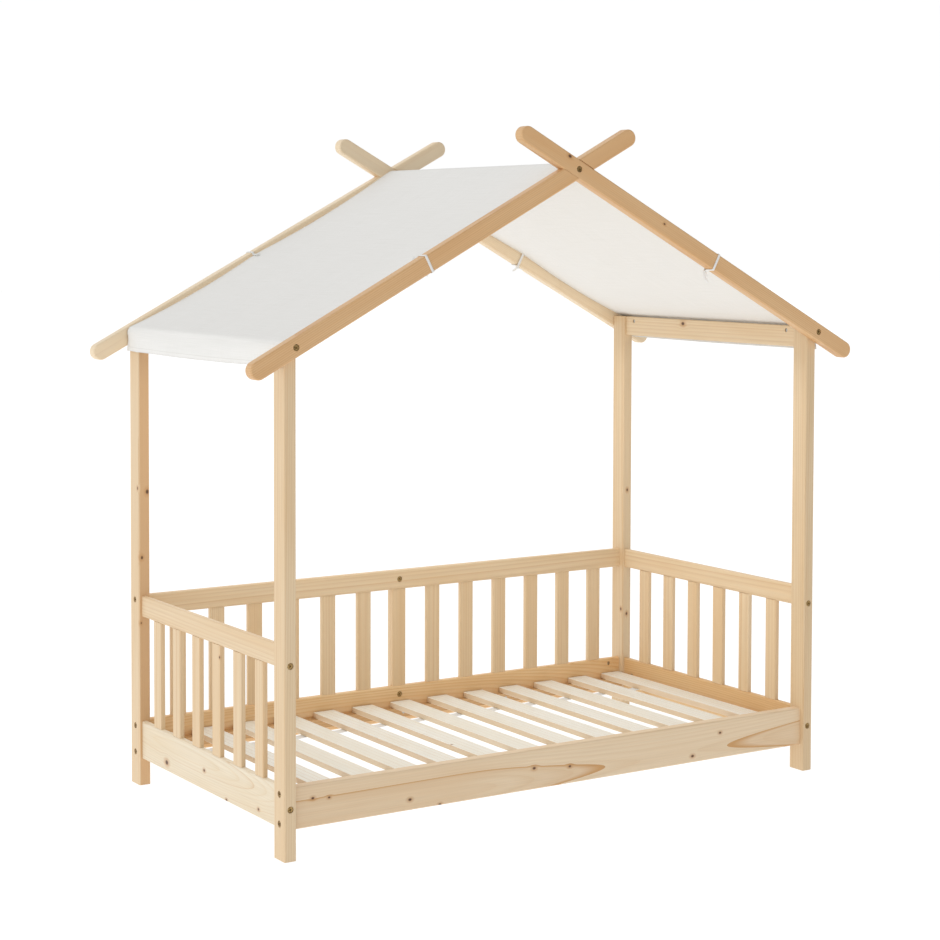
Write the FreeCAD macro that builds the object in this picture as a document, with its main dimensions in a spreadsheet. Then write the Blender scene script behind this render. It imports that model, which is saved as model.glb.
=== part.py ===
"""Toddler house bed: a slatted bed frame under a pitched roof frame with a cotton canopy.

Millimetres. X runs along the bed, left (-) to right (+); Y runs across it, from the open
front (-) to the back (+); Z is up. The origin is on the floor at the middle of the bed.
"""
import math
import os
import re

import FreeCAD
import Part
import Sketcher

document = FreeCAD.newDocument("ToddlerHouseBed")

# ---------------------------------------------------------------- driving dimensions
SIZES = (
    ("bed_length", 1480, "over the posts, left to right"),
    ("bed_width", 800, "over the posts, front to back"),
    ("post_thick", 28, "post section along X"),
    ("post_deep", 50, "post section along Y"),
    ("post_tall", 1108, "floor to the top of a post"),
    ("post_round", 3, "radius on the long edges of a post"),
    ("board_rise", 64, "floor to the underside of the low boards"),
    ("board_tall", 92, "height of the low boards"),
    ("board_round", 4, "radius on the long edges of boards and rails"),
    ("rail_rise", 410, "floor to the underside of the guard rails"),
    ("rail_tall", 50, "height of the guard rails"),
    ("end_thick", 14, "thickness of the end boards, end rails and roof rails"),
    ("back_thick", 18, "thickness of the back board and back rail"),
    ("front_thick", 26, "thickness of the front board"),
    ("slat_wide", 40, "width of a guard slat"),
    ("slat_thick", 12, "thickness of a guard slat"),
    ("slat_round", 2.5, "radius on the long edges of a slat"),
    ("tenon_wide", 30, "width of a slat's tenon"),
    ("tenon_thick", 6, "thickness of a slat's tenon"),
    ("tenon_long", 10, "length of a slat's tenon"),
    ("fit_gap", 0.15, "clearance round a tenon, dowel, nut or lap"),
    ("support_wide", 34, "width of the middle support"),
    ("support_drop", 8, "top of the middle support below the guard rail's top"),
    ("roof_rail_tall", 52, "height of the roof rails at the post tops"),
    ("roof_pitch", 28, "slope of the rafters in degrees"),
    ("rafter_thick", 28, "rafter section along Y"),
    ("rafter_deep", 40, "rafter section across its length"),
    ("rafter_round", 4, "radius on the edges of a rafter"),
    ("rafter_tail", 118, "post bolt to the lower tip of a rafter"),
    ("rafter_stub", 178, "ridge bolt to the upper tip of a rafter"),
    ("ridge_thick", 28, "square section of the ridge pole"),
    ("ridge_round", 5, "radius on the long edges of the ridge pole"),
    ("deck_top", 117, "floor to the top of the slatted base"),
    ("deck_wide", 60, "width of a base slat"),
    ("deck_thick", 14, "thickness of a base slat"),
    ("deck_round", 2, "radius on the long edges of a base slat"),
    ("deck_gap", 2.5, "clearance round the slatted base"),
    ("seat_gap", 0.3, "the base above its ledgers, cloth off wood"),
    ("ledger_deep", 20, "ledger section along Y"),
    ("ledger_tall", 24, "ledger section along Z"),
    ("tape_wide", 30, "width of the tapes under the base slats"),
    ("tape_thick", 1, "thickness of the tapes"),
    ("tape_inset", 124, "ledger's inner edge to the near edge of a tape"),
    ("bolt_shank", 6, "bolt diameter"),
    ("bolt_hole", 7, "clearance hole for a bolt"),
    ("head_wide", 13.5, "bolt head diameter"),
    ("head_thick", 3.5, "bolt head thickness"),
    ("socket_wide", 4.6, "hexagon socket across its corners"),
    ("socket_deep", 2.5, "depth of the hexagon socket"),
    ("bore_wide", 15, "counterbore diameter"),
    ("bore_deep", 5, "counterbore depth"),
    ("nut_wide", 10, "barrel nut diameter"),
    ("nut_long", 10, "barrel nut length"),
    ("nut_inset", 35, "end of a rail to its barrel nut"),
    ("bolt_past", 7, "bolt end beyond the middle of its nut"),
    ("hole_spare", 1, "hole beyond the end of its bolt or screw"),
    ("low_bolt", 14, "lower side bolt above the underside of the board"),
    ("high_bolt", 78, "upper side bolt above the underside of the board"),
    ("end_bolt", 48, "end board bolt above the underside of the board"),
    ("end_rail_bolt", 9, "end rail bolt above the underside of the rail"),
    ("back_rail_bolt", 39, "back rail bolt above the underside of the rail"),
    ("support_low_bolt", 70, "support bolt above the underside of the board"),
    ("support_high_bolt", 26, "support bolt above the underside of the rail"),
    ("roof_bolt", 12, "rafter bolt below the top of the post"),
    ("dowel_wide", 8, "dowel diameter"),
    ("dowel_long", 40, "dowel length, half of it in each piece"),
    ("dowel_rise", 16, "dowel above the underside of the roof rail"),
    ("screw_wide", 4, "ledger screw diameter"),
    ("screw_head", 8, "ledger screw head diameter"),
    ("screw_long", 30, "ledger screw length"),
    ("screw_end", 70, "end of a ledger to its first screw"),
    ("cloth_thick", 1.2, "canopy cloth"),
    ("cloth_drop", 60, "canopy hem below the post tops"),
    ("cloth_side", 3, "canopy edge to the rafter beside it"),
    ("tie_run", 400, "middle of the bed to a tie, along X"),
    ("tie_wide", 8, "width of a tie"),
    ("tie_thick", 1.2, "thickness of a tie"),
    ("tie_tail", 32, "length of a tie's hanging tails"),
)

END_SLATS = 6
BACK_SLATS = 13
BASE_SLATS = 13
LEDGER_SCREWS = 5

sheet = document.addObject("Spreadsheet::Sheet", "Sizes")
for row, (alias, value, meaning) in enumerate(SIZES, start=1):
    sheet.set(f"A{row}", alias)
    sheet.set(f"B{row}", str(value))
    sheet.set(f"C{row}", meaning)
    sheet.setAlias(f"B{row}", alias)
document.recompute()

SIDES = {"left": -1, "right": 1}
FACES = {"front": -1, "back": 1}
AXES = "xyz"
ALONG = {
    "x": FreeCAD.Rotation(FreeCAD.Vector(0, 1, 0), 90),
    "y": FreeCAD.Rotation(FreeCAD.Vector(1, 0, 0), -90),
    "z": FreeCAD.Rotation(),
}
PLANES = {"x": "YZ_Plane", "y": "XZ_Plane", "z": "XY_Plane"}
nodes = {}


# ---------------------------------------------------------------- helpers
def bound(text):
    """Turn alias words such as post_thick into references to the sheet."""
    return re.sub(r"[a-z]+(?:_[a-z]+)+", lambda word: "Sizes." + word.group(0), str(text))


def value_of(text):
    """Work out an expression of alias words as a number, for counts and choices."""
    return float(document.Sizes.evalExpression(bound(text)))


def place(item, centre, less=("0", "0", "0")):
    """Bind an object's position to its centre, less the offset of its own corner."""
    for axis, middle, half in zip(AXES, centre, less):
        item.setExpression(f"Placement.Base.{axis}", bound(f"({middle}) - ({half})"))


def block(centre, size):
    """A box given by its centre and its size along X, Y and Z."""
    box = document.addObject("Part::Box", "Block")
    for name, extent in zip(("Length", "Width", "Height"), size):
        box.setExpression(name, bound(extent))
    place(box, centre, [f"({extent})/2" for extent in size])
    return box


def rod(axis, centre, diameter, length):
    """A cylinder along one axis, given by its centre."""
    cylinder = document.addObject("Part::Cylinder", "Rod")
    cylinder.Placement.Rotation = ALONG[axis]
    cylinder.setExpression("Radius", bound(f"({diameter})/2"))
    cylinder.setExpression("Height", bound(length))
    place(cylinder, centre, [f"({length})/2" if name == axis else "0" for name in AXES])
    return cylinder


def shifted(point, axis, amount):
    """The point moved along one axis by an expression."""
    return [f"({part}) + ({amount})" if name == axis else part for name, part in zip(AXES, point)]


def joined(items):
    """One solid made of overlapping pieces."""
    if len(items) == 1:
        return items[0]
    fusion = document.addObject("Part::MultiFuse", "Joined")
    fusion.Shapes = items
    return fusion


def gathered(items):
    """Several separate solids kept as one group."""
    group = document.addObject("Part::Compound", "Group")
    group.Links = items
    return group


def less(item, cutters):
    """The item with every cutter taken away."""
    if not cutters:
        return item
    cut = document.addObject("Part::Cut", "Cut")
    cut.Base = item
    cut.Tool = gathered(cutters)
    return cut


def node(label, item):
    """Give a finished piece its own name."""
    item.Label = label
    nodes[label] = item
    return item


def origin_plane(body, role):
    return next(item for item in body.Origin.OriginFeatures if item.Role == role)


def sketch_on(body, axis):
    sketch = body.newObject("Sketcher::SketchObject", "Sketch")
    sketch.AttachmentSupport = [(origin_plane(body, PLANES[axis]), "")]
    sketch.MapMode = "FlatFace"
    return sketch


def outline(sketch, points):
    """A closed outline of straight lines, with each corner's place bound to the sheet."""
    rough = [FreeCAD.Vector(value_of(x), value_of(y), 0) for x, y in points]
    for index, start in enumerate(rough):
        sketch.addGeometry(Part.LineSegment(start, rough[(index + 1) % len(rough)]), False)
    for index, (x, y) in enumerate(points):
        following = (index + 1) % len(points)
        sketch.addConstraint(Sketcher.Constraint("Coincident", index, 2, following, 1))
        for kind, amount in (("DistanceX", x), ("DistanceY", y)):
            rule = Sketcher.Constraint(kind, -1, 1, index, 1, value_of(amount))
            number = sketch.addConstraint(rule)
            sketch.renameConstraint(number, f"{kind}{index}")
            sketch.setExpression(f"Constraints.{kind}{index}", bound(amount))


def padded(body, sketch, length):
    """The sketch thickened equally both ways."""
    pad = body.newObject("PartDesign::Pad", "Pad")
    pad.Profile = sketch
    pad.SideType = "Symmetric"
    pad.setExpression("Length", bound(length))
    document.recompute()
    return pad


def eased(body, feature, edges, radius):
    """Round the chosen edges of a feature."""
    rounding = body.newObject("PartDesign::Fillet", "Rounding")
    rounding.Base = (feature, edges)
    rounding.setExpression("Radius", bound(radius))
    body.Tip = rounding


def long_edges(shape, axis):
    """The names of the edges that run along one axis."""
    names = []
    for number, edge in enumerate(shape.Edges, start=1):
        box = edge.BoundBox
        across = [getattr(box, f"{name.upper()}Length") for name in AXES if name != axis]
        if max(across) < 0.001:
            names.append(f"Edge{number}")
    return names


def timber(axis, centre, size, radius=None, angle=None):
    """A sawn length of timber: a section padded along its axis, its long edges eased."""
    body = document.addObject("PartDesign::Body", "Timber")
    sketch = sketch_on(body, axis)
    across = [f"({extent})/2" for name, extent in zip(AXES, size) if name != axis]
    corners = ((-1, -1), (1, -1), (1, 1), (-1, 1))
    outline(sketch, [(f"{i}*{across[0]}", f"{j}*{across[1]}") for i, j in corners])
    pad = padded(body, sketch, size[AXES.index(axis)])
    if radius:
        eased(body, pad, long_edges(pad.Shape, axis), radius)
    if angle:
        body.Placement.Rotation = FreeCAD.Rotation(FreeCAD.Vector(0, 1, 0), value_of(angle))
        body.setExpression("Placement.Rotation.Angle", bound(angle))
    place(body, centre)
    return body


# ---------------------------------------------------------------- shared places
POST_X = "(bed_length - post_thick)/2"
POST_Y = "(bed_width - post_deep)/2"
INSIDE_X = "(bed_length/2 - post_thick)"
INSIDE_Y = "(bed_width/2 - post_deep)"
BOLT_Z = "(post_tall - roof_bolt)"
RIDGE_Z = f"({BOLT_Z} + {POST_X}*tan(roof_pitch))"
RAFTER_Y = "(bed_width + rafter_thick)/2"
BACK_IN = f"({POST_Y} - back_thick/2)"
FRONT_IN = f"({POST_Y} - front_thick/2)"
LEDGER_TOP = "(deck_top - deck_thick - seat_gap)"
LEDGER_Z = f"({LEDGER_TOP} - ledger_tall/2)"
SEAT = "(bed_width/2 - bore_deep)"
SIDE_SEAT = "(bed_length/2 - bore_deep)"
RAFTER_SEAT = "(bed_width/2 + rafter_thick - bore_deep)"
ROOF_DOWEL_Z = "(post_tall - roof_rail_tall + dowel_rise)"

side_bolt_rows = {
    "front": ["board_rise + low_bolt", "board_rise + high_bolt"],
    "back": ["board_rise + low_bolt", "board_rise + high_bolt", "rail_rise + back_rail_bolt"],
}
end_bolt_rows = ["board_rise + end_bolt", "rail_rise + end_rail_bolt"]
support_rows = ["board_rise + support_low_bolt", "rail_rise + support_high_bolt"]

bolts = {"side_board_bolts": [], "end_panel_bolts": [], "rafter_bolts": [],
         "ridge_bolts": [], "support_bolts": []}
barrel_nuts = []
ledger_screws = []
dowels = []


# ---------------------------------------------------------------- fasteners and their holes
def bolt_through(group, axis, out, seat, long):
    """A socket-head bolt: the head lies outside its seat, the shank runs inwards."""
    head = rod(axis, shifted(seat, axis, f"{out}*head_thick/2"), "head_wide", "head_thick")
    shank = rod(axis, shifted(seat, axis, f"-{out}*({long})/2"), "bolt_shank", long)
    socket = document.addObject("Part::Prism", "Socket")
    socket.Polygon = 6
    socket.Placement.Rotation = ALONG[axis]
    socket.setExpression("Circumradius", bound("socket_wide/2"))
    socket.setExpression("Height", bound("socket_deep"))
    middle = shifted(seat, axis, f"{out}*(head_thick - socket_deep/2)")
    place(socket, middle, ["socket_deep/2" if name == axis else "0" for name in AXES])
    bolts[group].append(less(joined([head, shank]), [socket]))


def barrel_nut(axis, bolt_axis, centre):
    """A round cross nut with a hole for the bolt."""
    barrel = rod(axis, centre, "nut_wide", "nut_long")
    thread = rod(bolt_axis, centre, "bolt_shank + fit_gap", "nut_wide + 2*hole_spare")
    barrel_nuts.append(less(barrel, [thread]))


def bored(axis, out, face, through):
    """The counterbore and the clearance hole for a bolt that enters at a face."""
    wide = rod(axis, shifted(face, axis, f"-{out}*bore_deep/2"), "bore_wide", "bore_deep")
    return [wide, drilled(axis, out, face, through)]


def drilled(axis, out, face, through):
    """A clearance hole that runs inwards from a face."""
    return rod(axis, shifted(face, axis, f"-{out}*({through})/2"), "bolt_hole", through)


def nut_pocket(axis, out, centre, depth_to_centre):
    """The blind hole that a barrel nut drops into, open towards one side."""
    deep = f"({depth_to_centre} + nut_long/2 + fit_gap)"
    middle = shifted(centre, axis, f"{out}*(({depth_to_centre}) - {deep}/2)")
    return rod(axis, middle, "nut_wide + 2*fit_gap", deep)


def end_holes(axis, end, centre, rows, nut_axis, nut_out, nut_depth):
    """Bolt holes and nut pockets at both ends of a rail, with the nuts that sit in them."""
    cutters = []
    bolt_run = "(nut_inset + bolt_past + hole_spare)"
    for sign in (-1, 1):
        for row in rows:
            tip = list(centre)
            tip[2] = row
            tip[AXES.index(axis)] = f"{sign}*{end}"
            middle = shifted(tip, axis, f"-{sign}*nut_inset")
            cutters.append(drilled(axis, sign, tip, bolt_run))
            cutters.append(nut_pocket(nut_axis, nut_out, middle, nut_depth))
            barrel_nut(nut_axis, axis, middle)
    return cutters


# ---------------------------------------------------------------- posts
def make_post(side, face):
    """A corner post with the holes for the bolts that come through it."""
    i, j = SIDES[side], FACES[face]
    centre = (f"{i}*{POST_X}", f"{j}*{POST_Y}", "post_tall/2")
    holes = []
    for row in end_bolt_rows:
        outer = (centre[0], f"{j}*bed_width/2", row)
        holes += bored("y", j, outer, "post_deep")
        seat = (centre[0], f"{j}*{SEAT}", row)
        long = "(post_deep - bore_deep + nut_inset + bolt_past)"
        bolt_through("end_panel_bolts", "y", j, seat, long)
    for row in side_bolt_rows[face]:
        outer = (f"{i}*bed_length/2", centre[1], row)
        holes += bored("x", i, outer, "post_thick")
        seat = (f"{i}*{SIDE_SEAT}", centre[1], row)
        long = "(post_thick - bore_deep + nut_inset + bolt_past)"
        bolt_through("side_board_bolts", "x", i, seat, long)
    top = (centre[0], f"{j}*bed_width/2", BOLT_Z)
    holes.append(drilled("y", j, top, "post_deep"))
    socket = (centre[0], f"{j}*({INSIDE_Y} + dowel_long/4)", ROOF_DOWEL_Z)
    holes.append(rod("y", socket, "dowel_wide + 2*fit_gap", "dowel_long/2 + fit_gap"))
    body = timber("z", centre, ("post_thick", "post_deep", "post_tall"), "post_round")
    node(f"{face}_{side}_post", less(body, holes))


# ---------------------------------------------------------------- guard panels
def slat_places(count, inside, wide):
    """The middles of evenly spaced slats, with equal gaps at the ends too."""
    gap = f"((2*{inside} - {count}*{wide})/{count + 1})"
    return [f"(-{inside} + {index + 1}*{gap} + {index + 0.5}*{wide})" for index in range(count)]


def guard_slat(centre_x, centre_y, run):
    """One upright slat with a stub tenon at each end; run is the panel's direction."""
    low = "(board_rise + board_tall)"
    tall = f"(rail_rise - {low})"
    middle = (centre_x, centre_y, f"({low} + {tall}/2)")
    section = ("slat_wide", "slat_thick") if run == "x" else ("slat_thick", "slat_wide")
    tenon = ("tenon_wide", "tenon_thick") if run == "x" else ("tenon_thick", "tenon_wide")
    stem = timber("z", middle, (*section, tall), "slat_round")
    tongue = block(middle, (*tenon, f"({tall} + 2*tenon_long)"))
    return joined([stem, tongue])


def mortise(centre_x, centre_y, run, edge, out):
    """The slot for a tenon, opening at the given edge of a rail."""
    wide = ("(tenon_wide + 2*fit_gap)", "(tenon_thick + 2*fit_gap)")
    section = wide if run == "x" else wide[::-1]
    deep = "(tenon_long + fit_gap)"
    return block((centre_x, centre_y, f"({edge}) - {out}*{deep}/2"), (*section, deep))


def make_end_panel(side):
    """An end panel: low board, guard rail and six slats."""
    i = SIDES[side]
    x = f"{i}*{POST_X}"
    places = slat_places(END_SLATS, INSIDE_Y, "slat_wide")
    board_z, rail_z = "board_rise + board_tall/2", "rail_rise + rail_tall/2"
    board_cuts = end_holes("y", INSIDE_Y, (x, "0", board_z), end_bolt_rows[:1],
                           "x", -i, "end_thick/2")
    rail_cuts = end_holes("y", INSIDE_Y, (x, "0", rail_z), end_bolt_rows[1:],
                          "z", -1, "end_rail_bolt")
    board_cuts += [mortise(x, y, "y", "board_rise + board_tall", 1) for y in places]
    rail_cuts += [mortise(x, y, "y", "rail_rise", -1) for y in places]
    board = timber("y", (x, "0", board_z), ("end_thick", f"2*{INSIDE_Y}", "board_tall"), "board_round")
    rail = timber("y", (x, "0", rail_z), ("end_thick", f"2*{INSIDE_Y}", "rail_tall"), "board_round")
    node(f"{side}_end_board", less(board, board_cuts))
    node(f"{side}_guard_rail", less(rail, rail_cuts))
    node(f"{side}_guard_slats", gathered([guard_slat(x, y, "y") for y in places]))


def make_back_panel():
    """The back panel: low board, guard rail and thirteen slats."""
    places = slat_places(BACK_SLATS, INSIDE_X, "slat_wide")
    board_z, rail_z = "board_rise + board_tall/2", "rail_rise + rail_tall/2"
    rows = side_bolt_rows["back"]
    board_cuts = end_holes("x", INSIDE_X, ("0", POST_Y, board_z), rows[:2],
                           "y", -1, "back_thick/2")
    rail_cuts = end_holes("x", INSIDE_X, ("0", POST_Y, rail_z), rows[2:], "y", 1, "back_thick/2")
    board_cuts += [mortise(x, POST_Y, "x", "board_rise + board_tall", 1) for x in places]
    rail_cuts += [mortise(x, POST_Y, "x", "rail_rise", -1) for x in places]
    for row, cuts in zip(support_rows, (board_cuts, rail_cuts)):
        cuts += bored("y", -1, ("0", BACK_IN, row), "back_thick")
    board_cuts += [pilot_hole(x, 1, BACK_IN) for x in ledger_screw_places()]
    board = timber("x", ("0", POST_Y, board_z), (f"2*{INSIDE_X}", "back_thick", "board_tall"),
                   "board_round")
    rail = timber("x", ("0", POST_Y, rail_z), (f"2*{INSIDE_X}", "back_thick", "rail_tall"),
                  "board_round")
    node("back_board", less(board, board_cuts))
    node("back_guard_rail", less(rail, rail_cuts))
    node("back_guard_slats", gathered([guard_slat(x, POST_Y, "x") for x in places]))


def make_middle_support():
    """The upright behind the back panel, bolted from the inside at board and rail."""
    back_out = f"({POST_Y} + back_thick/2)"
    deep = f"(bed_width/2 - {back_out})"
    y = f"({back_out} + {deep}/2)"
    tall = "(rail_rise + rail_tall - support_drop - board_rise)"
    cuts = []
    for row in support_rows:
        centre = ("0", y, row)
        reach = f"({deep}/2 + bolt_past)"
        cuts.append(drilled("y", -1, ("0", back_out, row), reach))
        cuts.append(nut_pocket("x", -1, centre, "support_wide/2"))
        barrel_nut("x", "y", centre)
        seat = ("0", f"({BACK_IN} + bore_deep)", row)
        long = f"(back_thick - bore_deep + {deep}/2 + bolt_past - hole_spare)"
        bolt_through("support_bolts", "y", -1, seat, long)
    centre = ("0", y, f"(board_rise + {tall}/2)")
    body = timber("z", centre, ("support_wide", deep, tall), "post_round")
    node("middle_support", less(body, cuts))


def make_front_board():
    """The low board of the open side."""
    z = "board_rise + board_tall/2"
    centre = ("0", f"-{POST_Y}", z)
    cuts = end_holes("x", INSIDE_X, centre, side_bolt_rows["front"], "y", 1, "front_thick/2")
    cuts += [pilot_hole(x, -1, FRONT_IN) for x in ledger_screw_places()]
    body = timber("x", centre, (f"2*{INSIDE_X}", "front_thick", "board_tall"), "board_round")
    node("front_board", less(body, cuts))


# ---------------------------------------------------------------- ledgers and slatted base
def ledger_screw_places():
    span = f"({INSIDE_X} - deck_gap - screw_end)"
    steps = LEDGER_SCREWS - 1
    return [f"(-{span} + {index}*2*{span}/{steps})" for index in range(LEDGER_SCREWS)]


def pilot_hole(x, j, inner):
    """The hole that a ledger screw bites into."""
    deep = "(screw_long - ledger_deep + hole_spare)"
    return rod("y", (x, f"{j}*({inner} + {deep}/2)", LEDGER_Z), "screw_wide + fit_gap", deep)


def countersink(x, j, y, wider="0"):
    """The cone of a screw head, widest at the ledger's inner face."""
    cone = document.addObject("Part::Cone", "Cone")
    turn = FreeCAD.Rotation(FreeCAD.Vector(1, 0, 0), -90 * j)
    cone.Placement.Rotation = turn
    cone.setExpression("Radius1", bound(f"screw_head/2 + {wider}"))
    cone.setExpression("Radius2", bound(f"screw_wide/2 + {wider}"))
    cone.setExpression("Height", bound("(screw_head - screw_wide)/2"))
    place(cone, (x, y, LEDGER_Z))
    return cone


def make_ledger(face):
    """The bearer strip screwed inside a side board, which carries the slats."""
    j = FACES[face]
    inner = BACK_IN if face == "back" else FRONT_IN
    inside = f"{j}*({inner} - ledger_deep)"
    centre = ("0", f"{j}*({inner} - ledger_deep/2)", LEDGER_Z)
    cuts = []
    for x in ledger_screw_places():
        middle = (x, centre[1], LEDGER_Z)
        cuts.append(rod("y", middle, "screw_wide + fit_gap", "ledger_deep"))
        cuts.append(countersink(x, j, inside, "fit_gap/2"))
        stem = (x, f"{j}*({inner} - ledger_deep + screw_long/2)", LEDGER_Z)
        shank = rod("y", stem, "screw_wide", "screw_long")
        ledger_screws.append(joined([shank, countersink(x, j, inside)]))
    long = f"(2*({INSIDE_X} - deck_gap))"
    body = timber("x", centre, (long, "ledger_deep", "ledger_tall"), "deck_round/2")
    node(f"{face}_ledger", less(body, [joined(cuts)]))


def make_slatted_base():
    """Thirteen loose slats linked by two tapes stapled under them."""
    far, near = f"({BACK_IN} - deck_gap)", f"(-{FRONT_IN} + deck_gap)"
    y = f"(({far} + {near})/2)"
    long = f"({far} - {near})"
    reach = f"({INSIDE_X} - deck_gap - deck_wide/2)"
    z = "deck_top - deck_thick/2"
    steps = BASE_SLATS - 1
    for index in range(BASE_SLATS):
        x = f"(-{reach} + {index}*2*{reach}/{steps})"
        slat = timber("y", (x, y, z), ("deck_wide", long, "deck_thick"), "deck_round")
        node(f"base_slat_{index + 1:02d}", slat)
    for face, j in FACES.items():
        inner = BACK_IN if face == "back" else FRONT_IN
        middle = f"{j}*({inner} - ledger_deep - tape_inset - tape_wide/2)"
        under = "deck_top - deck_thick - tape_thick/2"
        tape = block(("0", middle, under), (f"2*{reach} + deck_wide", "tape_wide", "tape_thick"))
        node(f"{face}_slat_tape", tape)


# ---------------------------------------------------------------- roof
def make_roof_rail(side):
    """The rail across the bed at the post tops, which the canopy hangs over."""
    i = SIDES[side]
    x = f"{i}*{POST_X}"
    z = "(post_tall - roof_rail_tall/2)"
    cuts = end_holes("y", INSIDE_Y, (x, "0", z), [BOLT_Z], "x", -i, "end_thick/2")
    for j in FACES.values():
        middle = (x, f"{j}*({INSIDE_Y} - dowel_long/4)", ROOF_DOWEL_Z)
        cuts.append(rod("y", middle, "dowel_wide + 2*fit_gap", "dowel_long/2 + fit_gap"))
        dowels.append(rod("y", (x, f"{j}*{INSIDE_Y}", ROOF_DOWEL_Z), "dowel_wide", "dowel_long"))
    size = ("end_thick", f"2*{INSIDE_Y}", "roof_rail_tall")
    node(f"{side}_roof_rail", less(timber("y", (x, "0", z), size, "board_round"), cuts))


def make_ridge_pole():
    """The square pole between the two gables, under the fold of the canopy."""
    cuts = end_holes("y", "(bed_width/2)", ("0", "0", RIDGE_Z), [RIDGE_Z],
                     "z", -1, "ridge_thick/2")
    size = ("ridge_thick", "bed_width", "ridge_thick")
    node("ridge_pole", less(timber("y", ("0", "0", RIDGE_Z), size, "ridge_round"), cuts))


def rafter_angle(side):
    """The turn about Y that points a rafter's stub up towards the ridge."""
    return "360 - roof_pitch" if side == "left" else "180 + roof_pitch"


def rounded_bar(sketch):
    """The outline of a rafter: two straight sides and two half-round tips."""
    low = f"({POST_X}/cos(roof_pitch) + rafter_tail - rafter_deep/2)"
    high = "(rafter_stub - rafter_deep/2)"
    half = value_of("rafter_deep/2")
    start, stop = FreeCAD.Vector(-value_of(low), 0, 0), FreeCAD.Vector(value_of(high), 0, 0)
    rise, normal = FreeCAD.Vector(0, half, 0), FreeCAD.Vector(0, 0, 1)
    sketch.addGeometry(Part.LineSegment(start - rise, stop - rise), False)
    quarter = math.pi / 2
    sketch.addGeometry(Part.ArcOfCircle(Part.Circle(stop, normal, half), -quarter, quarter), False)
    sketch.addGeometry(Part.LineSegment(stop + rise, start + rise), False)
    around = Part.ArcOfCircle(Part.Circle(start, normal, half), quarter, 3 * quarter)
    sketch.addGeometry(around, False)
    for index in range(4):
        sketch.addConstraint(Sketcher.Constraint("Tangent", index, 2, (index + 1) % 4, 1))
    sketch.addConstraint(Sketcher.Constraint("Horizontal", 0))
    sketch.addConstraint(Sketcher.Constraint("PointOnObject", 3, 3, -1))
    rules = (("Radius", (1,), "rafter_deep/2"), ("DistanceX", (-1, 1, 1, 3), high),
             ("DistanceX", (3, 3, -1, 1), low))
    for count, (kind, where, amount) in enumerate(rules):
        number = sketch.addConstraint(Sketcher.Constraint(kind, *where, value_of(amount)))
        sketch.renameConstraint(number, f"Size{count}")
        sketch.setExpression(f"Constraints.Size{count}", bound(amount))


def make_rafter(side, face):
    """A rafter outside the posts, half-lapped with its partner at the ridge."""
    i, j = SIDES[side], FACES[face]
    body = document.addObject("PartDesign::Body", "Rafter")
    sketch = sketch_on(body, "y")
    rounded_bar(sketch)
    pad = padded(body, sketch, "rafter_thick")
    edges = [f"Edge{number}" for number, edge in enumerate(pad.Shape.Edges, start=1)
             if edge.BoundBox.YLength < 0.001]
    eased(body, pad, edges, "rafter_round")
    turn = rafter_angle(side)
    body.Placement.Rotation = FreeCAD.Rotation(FreeCAD.Vector(0, 1, 0), value_of(turn))
    body.setExpression("Placement.Rotation.Angle", bound(turn))
    place(body, ("0", f"{j}*{RAFTER_Y}", RIDGE_Z))
    # the gables are alike, turned half round: seen from outside, the rafter that comes down
    # on the right keeps the outer half of the lap
    other = "right" if side == "left" else "left"
    lap_y = f"({j}*({RAFTER_Y} + {i * j}*rafter_thick/4))"
    across = "(rafter_deep/cos(roof_pitch)/sin(roof_pitch))"
    lap_size = (across, "rafter_thick/2 + fit_gap", "rafter_deep + 2*fit_gap")
    lap = timber("x", ("0", lap_y, RIDGE_Z), lap_size, angle=rafter_angle(other))
    face_y = f"{j}*(bed_width/2 + rafter_thick)"
    cuts = [lap]
    cuts += bored("y", j, ("0", face_y, RIDGE_Z), "rafter_thick")
    cuts += bored("y", j, (f"{i}*{POST_X}", face_y, BOLT_Z), "rafter_thick")
    node(f"{face}_{side}_rafter", less(body, cuts))
    seat = (f"{i}*{POST_X}", f"{j}*{RAFTER_SEAT}", BOLT_Z)
    long = "(rafter_thick - bore_deep + post_deep + nut_inset + bolt_past)"
    bolt_through("rafter_bolts", "y", j, seat, long)


def make_ridge_bolts():
    for j in FACES.values():
        long = "(rafter_thick - bore_deep + nut_inset + bolt_past)"
        bolt_through("ridge_bolts", "y", j, ("0", f"{j}*{RAFTER_SEAT}", RIDGE_Z), long)


# ---------------------------------------------------------------- canopy and its ties
def make_canopy():
    """One sheet over the ridge pole and both roof rails, with a short hanging hem."""
    ridge_top = f"({RIDGE_Z} + ridge_thick/2 + seat_gap)"
    eave = "(bed_length/2 + seat_gap)"
    hem = "(post_tall - cloth_drop)"
    left_in = [(f"-{eave}", hem), (f"-{eave}", "post_tall + seat_gap"),
               ("-ridge_thick/2", ridge_top)]
    left_out = [(f"-({eave} + cloth_thick)", hem),
                (f"-({eave} + cloth_thick)", "post_tall + seat_gap + cloth_thick"),
                ("-ridge_thick/2", f"({ridge_top} + cloth_thick)")]
    points = left_out + [(f"-({x})", z) for x, z in reversed(left_out)]
    points += [(f"-({x})", z) for x, z in left_in] + left_in[::-1]
    body = document.addObject("PartDesign::Body", "Canopy")
    sketch = sketch_on(body, "y")
    outline(sketch, points)
    padded(body, sketch, "bed_width - 2*cloth_side")
    node("canopy", body)


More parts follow.
